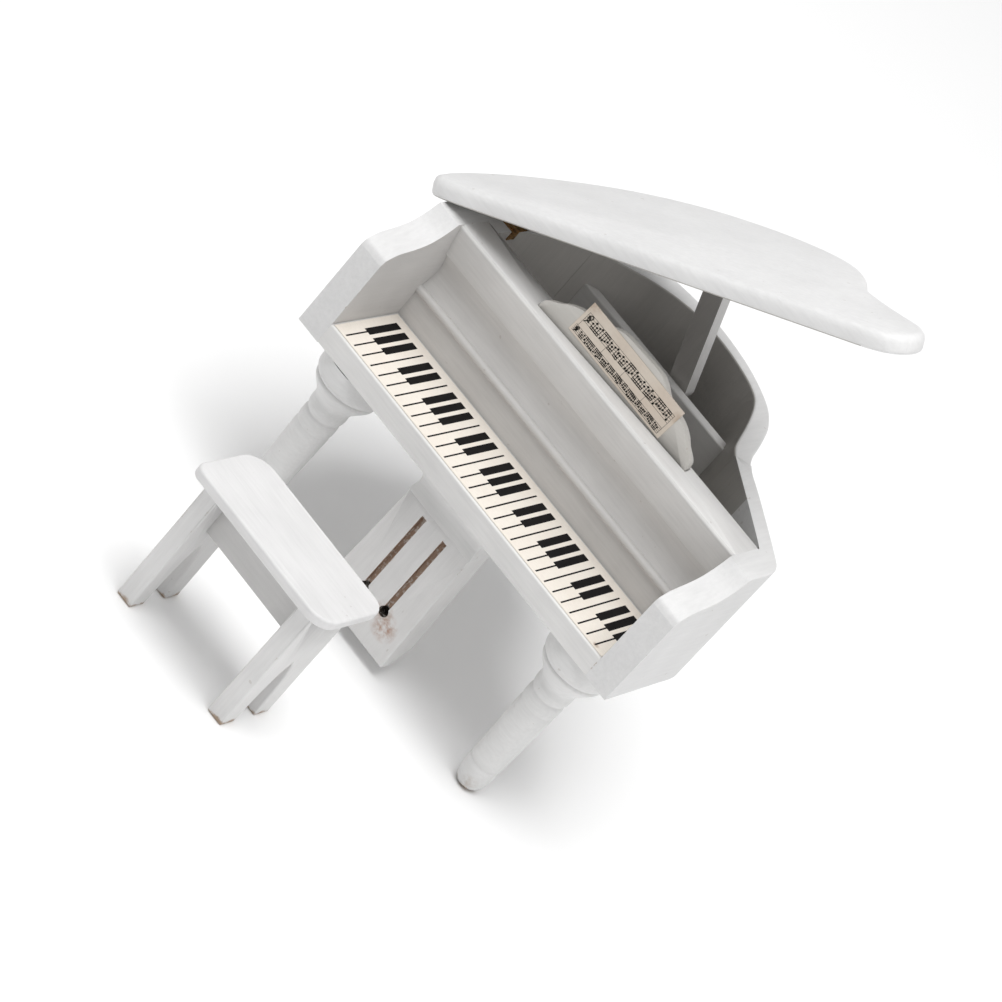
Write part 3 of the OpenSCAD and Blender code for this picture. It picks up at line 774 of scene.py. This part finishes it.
def print_music():
    """Two staves of generic music on the sheet, laid out along the sheet's own two edges."""
    corner, right, top = sheet_corners()
    across, upward = right - corner, top - corner
    width, height = across.length, upward.length
    across.normalize()
    upward.normalize()
    out = across.cross(upward).normalized()
    out = out if out.y < 0 else -out

    def place(u, v, t):
        return corner + across * u + upward * v + out * t

    rng = random.Random(MUSIC_SEED)
    bm = bmesh.new()
    upper, lower = UPPER_STAVE * height, LOWER_STAVE * height
    u0, u1 = SHEET_MARGIN, width - SHEET_MARGIN
    stave(bm, place, u0, u1, upper, UPPER_GAP, UPPER_NOTE, rng)
    stave(bm, place, u0 - 0.5 * MM, u1, lower, LOWER_GAP, LOWER_NOTE, rng)
    swirl(bm, place, u0 + 1.0 * MM, upper + 2 * UPPER_GAP, 1.5 * MM)
    swirl(bm, place, u0 + 0.5 * MM, lower + 2 * LOWER_GAP, 0.95 * MM)
    for share in BAR_LINES:
        u = u0 + share * (u1 - u0)
        bar = rectangle(u - STAVE_LINE, lower, u + STAVE_LINE, upper + 4 * UPPER_GAP)
        flat_shape(bm, bar, place, PRINT)
    bmesh.ops.recalc_face_normals(bm, faces=bm.faces)
    note_ink = ink("ink_notes", rgb(0.012, 0.011, 0.01), 0.3)
    print_piece("printed_notes", bm, note_ink)
    spots = [(top, 3.4 * MM, 0.45), (right + upward * height * 0.75, 2.2 * MM, 0.35)]
    sheet = paper("paper_music", rgb(0.68, 0.605, 0.52), rgb(0.60, 0.50, 0.41), spots)
    lay_paper("music_sheet", sheet)


# ---------------------------------------------------------------- metal


def dress_metal():
    """Tarnished brass on the hinge leaves and their nails, steel on the pin and the prop's nail."""
    brass = metal("brass", rgb(0.56, 0.33, 0.11), rgb(0.16, 0.075, 0.03), (1500, 160, 900))
    steel = metal("steel", rgb(0.55, 0.55, 0.54), rgb(0.28, 0.26, 0.24), (900, 160, 900))
    for node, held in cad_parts.items():
        if "leaf" in node or "nails" in node:
            held.data.materials.clear()
            held.data.materials.append(brass)
        elif node in ("hinge_pin", "prop_nail"):
            held.data.materials.clear()
            held.data.materials.append(steel)


# ---------------------------------------------------------------- floor and light


FLOOR_HALF_SIZE = 4.0
FLOOR_DARK, FLOOR_LIGHT = rgb(0.93, 0.93, 0.93), rgb(0.95, 0.95, 0.95)
SKY_STRENGTH = 0.44
KEY_LIGHT = {"direction": (0.04, -0.15, 1.0), "distance": 1.6, "size": 1.3, "energy": 23.5}
SIDE_LIGHT = {"direction": (1.0, -0.15, 0.35), "distance": 1.8, "size": 1.2, "energy": 5.0}


def add_floor():
    """A wide matt white floor."""
    bm = bmesh.new()
    bmesh.ops.create_grid(bm, x_segments=8, y_segments=8, size=FLOOR_HALF_SIZE)
    material, tree, surface, coords = new_material("studio_floor")
    cloud = ramp(tree, noise(tree, coords, 3.0, 2.0), LOW, HIGH, 0.0, 1.0)
    tree.links.new(mix(tree, cloud, FLOOR_DARK, FLOOR_LIGHT), surface.inputs["Base Color"])
    surface.inputs["Roughness"].default_value = 0.95
    surface.inputs["Specular IOR Level"].default_value = 0.1
    floor = new_piece("studio_floor", bm, [material])


def add_area(name, direction, distance, size, energy):
    """A round lamp that faces the piano from a direction."""
    data = bpy.data.lights.new(name, "AREA")
    data.shape = "DISK"
    data.size = size
    data.energy = energy
    light = bpy.data.objects.new(name, data)
    place = Vector(direction).normalized() * distance
    light.location = CAMERA_TARGET + place
    light.rotation_euler = place.to_track_quat("Z", "Y").to_euler()
    bpy.context.scene.collection.objects.link(light)


def add_light():
    """An even white sky, a wide lamp overhead and a weaker one at the treble side."""
    world = bpy.data.worlds.new("studio")
    world.use_nodes = True
    sky = world.node_tree.nodes["Background"]
    sky.inputs["Color"].default_value = rgb(1.0, 1.0, 1.0)
    sky.inputs["Strength"].default_value = SKY_STRENGTH
    bpy.context.scene.world = world
    add_area("key_light", **KEY_LIGHT)
    add_area("side_light", **SIDE_LIGHT)
    bpy.context.scene.view_settings.view_transform = "Standard"


add_camera()
add_floor()
add_light()
paint_case()
paint_desk()
paint_legs()
paint_lyre()
paint_lid()
paint_stool()
print_keyboard()
print_music()
dress_metal()
